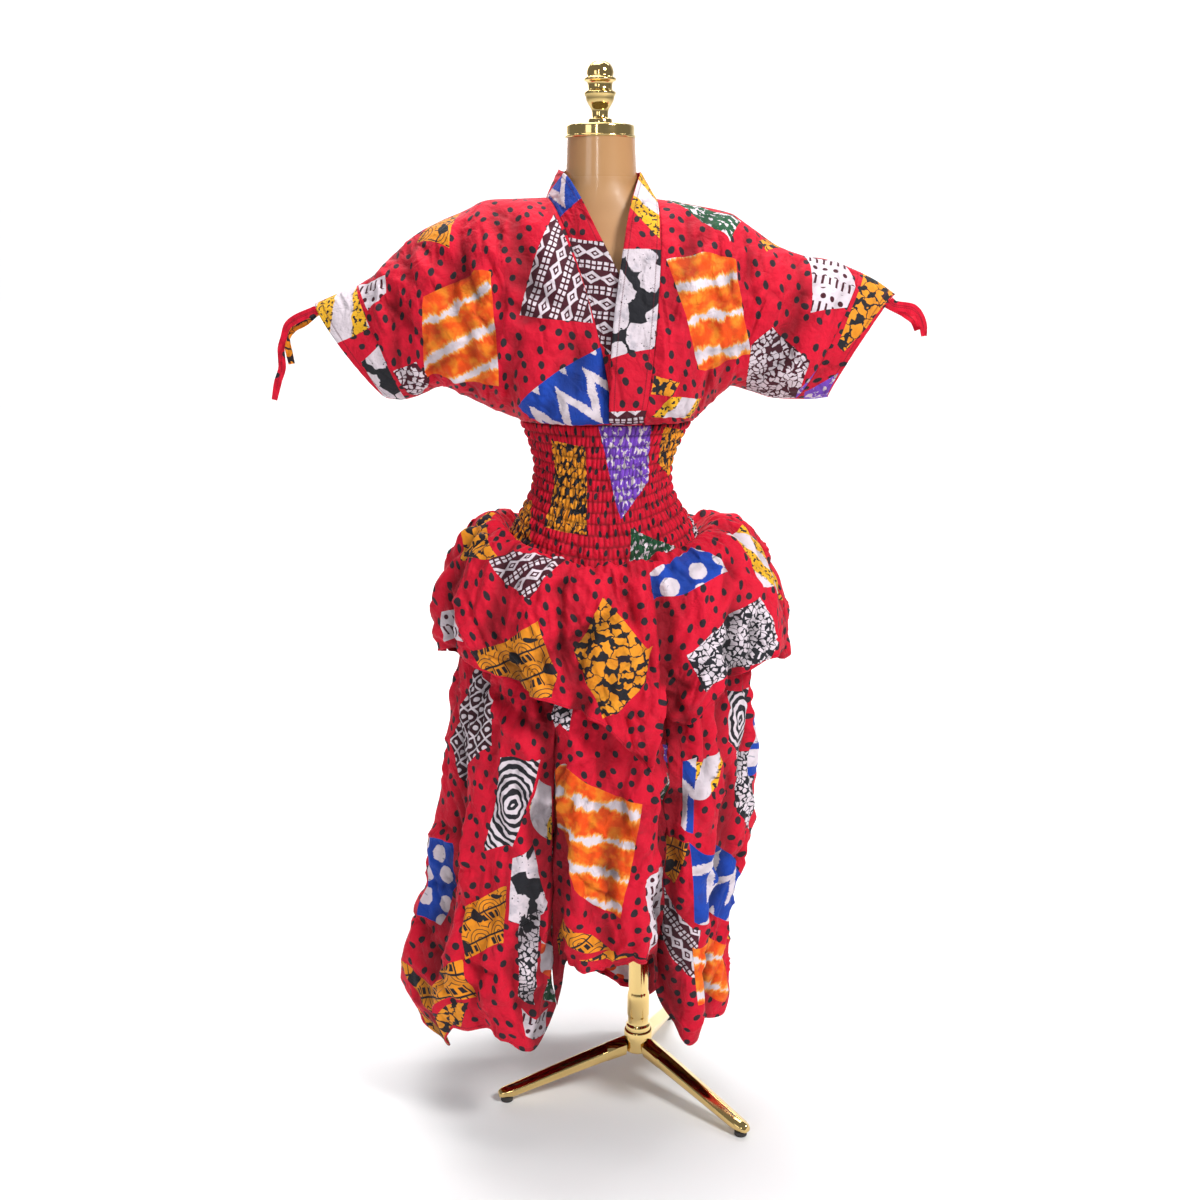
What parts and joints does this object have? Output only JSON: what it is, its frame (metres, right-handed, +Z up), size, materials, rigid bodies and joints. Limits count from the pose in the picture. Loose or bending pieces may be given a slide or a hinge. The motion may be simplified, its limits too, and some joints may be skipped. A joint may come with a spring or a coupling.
{
  "type": "handkerchief dress on a dress form stand",
  "caption": "Patchwork cotton dress with batwing sleeves, a smocked waist and a layered handkerchief hem, worn by a limbless dress form on a tripod stand.",
  "frame": {"origin": "on the floor, under the middle of the whole part's box", "axes": "+Z up, +X to the viewer's right across the dress, -Y towards the viewer, which the dress's front faces"},
  "size_m": [1.0378, 0.4698, 1.715],
  "materials": {
    "printed_cotton": "printed plain-weave cotton in crimson with dark dots and wax-print patches",
    "tan_form": "glossy tan moulded shell",
    "polished_brass": "polished brass plating",
    "glide": "matt dark glide"
  },
  "bodies": {
    "root": {"bodice_front_left": "printed_cotton", "bodice_front_right": "printed_cotton", "bodice_back": "printed_cotton", "neckband_left": "printed_cotton", "neckband_right": "printed_cotton", "cuff_left": "printed_cotton", "cuff_right": "printed_cotton", "tie_left_front": "printed_cotton", "tie_left_back": "printed_cotton", "tie_right_front": "printed_cotton", "tie_right_back": "printed_cotton", "smocked_waist": "printed_cotton", "overskirt_front": "printed_cotton", "overskirt_back": "printed_cotton", "skirt_front": "printed_cotton", "skirt_right": "printed_cotton", "skirt_back": "printed_cotton", "skirt_left": "printed_cotton", "form_torso": "tan_form", "neck_cap": "polished_brass", "finial": "polished_brass", "pole": "polished_brass", "hub": "polished_brass", "leg_1": "polished_brass", "leg_2": "polished_brass", "leg_3": "polished_brass", "foot_1": "glide", "foot_2": "glide", "foot_3": "glide"}
  },
  "joints": []
}
